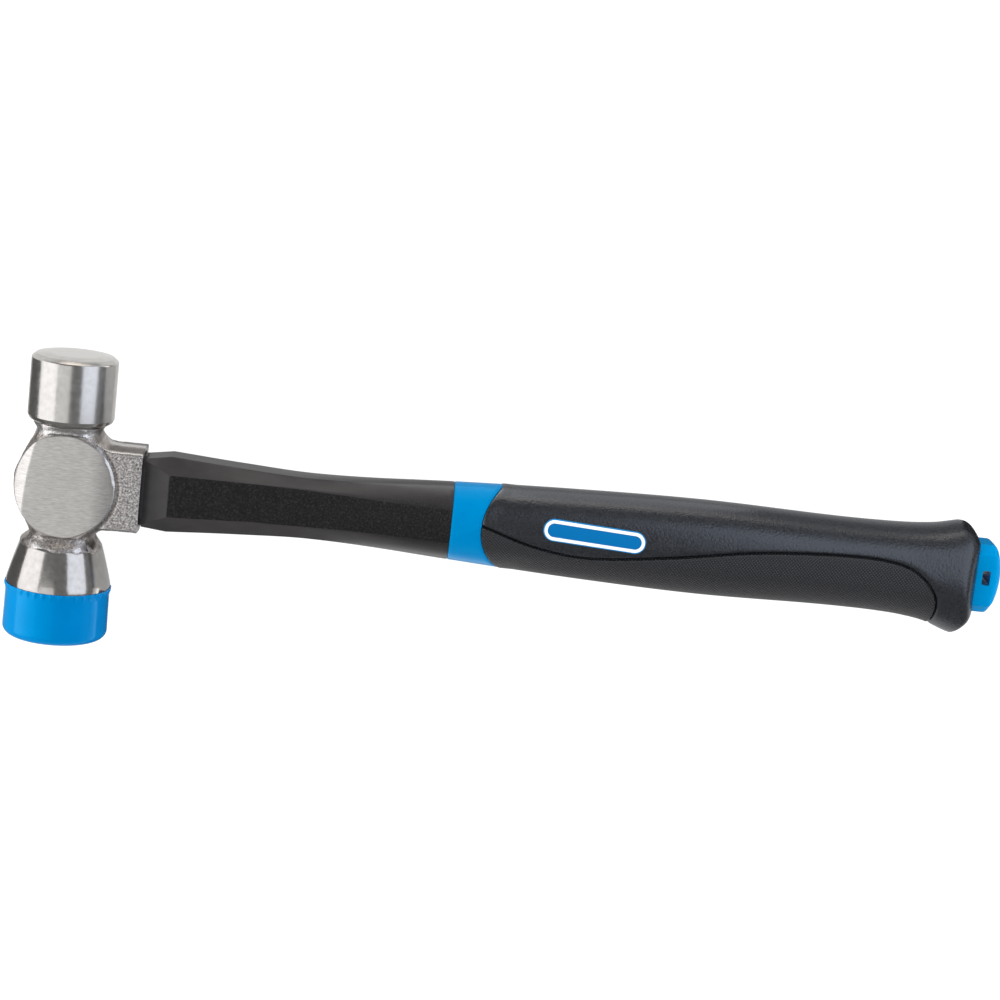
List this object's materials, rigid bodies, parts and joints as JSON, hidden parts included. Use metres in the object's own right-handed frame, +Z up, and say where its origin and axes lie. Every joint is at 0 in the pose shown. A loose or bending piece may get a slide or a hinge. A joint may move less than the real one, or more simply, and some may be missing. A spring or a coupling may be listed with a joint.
{
  "type": "two-faced shop hammer",
  "caption": "Hand hammer with a round steel face, a replaceable plastic tip on the other side, and a moulded grip on a fibreglass core handle.",
  "frame": {"origin": "on the surface that the hammer lies on, under the middle of its box", "axes": "+X along the handle from the head to the butt, +Y along the head from the plastic tip to the steel face, +Z up through the flat cheeks"},
  "size_m": [0.33, 0.0954, 0.0354],
  "materials": {
    "head_steel": "drop-forged, turned and ground bright on the poll, the cone and the cheeks, blasted on the socket",
    "tip_plastic": "moulded, satin",
    "potting_resin": "cast, glossy",
    "glass_fibre_rod": "pultruded",
    "jacket_plastic": "moulded, fine matt grain",
    "sleeve_plastic": "moulded, satin",
    "grip_rubber": "moulded, pebbled",
    "inlay_rubber": "moulded, fine diamond texture",
    "badge_plastic": "moulded white with a plain blue field",
    "plug_plastic": "moulded, satin"
  },
  "bodies": {
    "hammer": {"head_forging": "head_steel", "eye_resin": "potting_resin", "handle_core": "glass_fibre_rod", "handle_jacket": "jacket_plastic", "grip_sleeve": "sleeve_plastic", "grip_shell": "grip_rubber", "grip_inlay": "inlay_rubber", "badge": "badge_plastic", "butt_plug": "plug_plastic"},
    "tip": {"tip_cap": "tip_plastic"}
  },
  "joints": [
    {"name": "tip_pull", "type": "slide", "parent": "hammer", "child": "tip", "axis": [0, -1, 0], "range_m": [0, 0.03]}
  ]
}
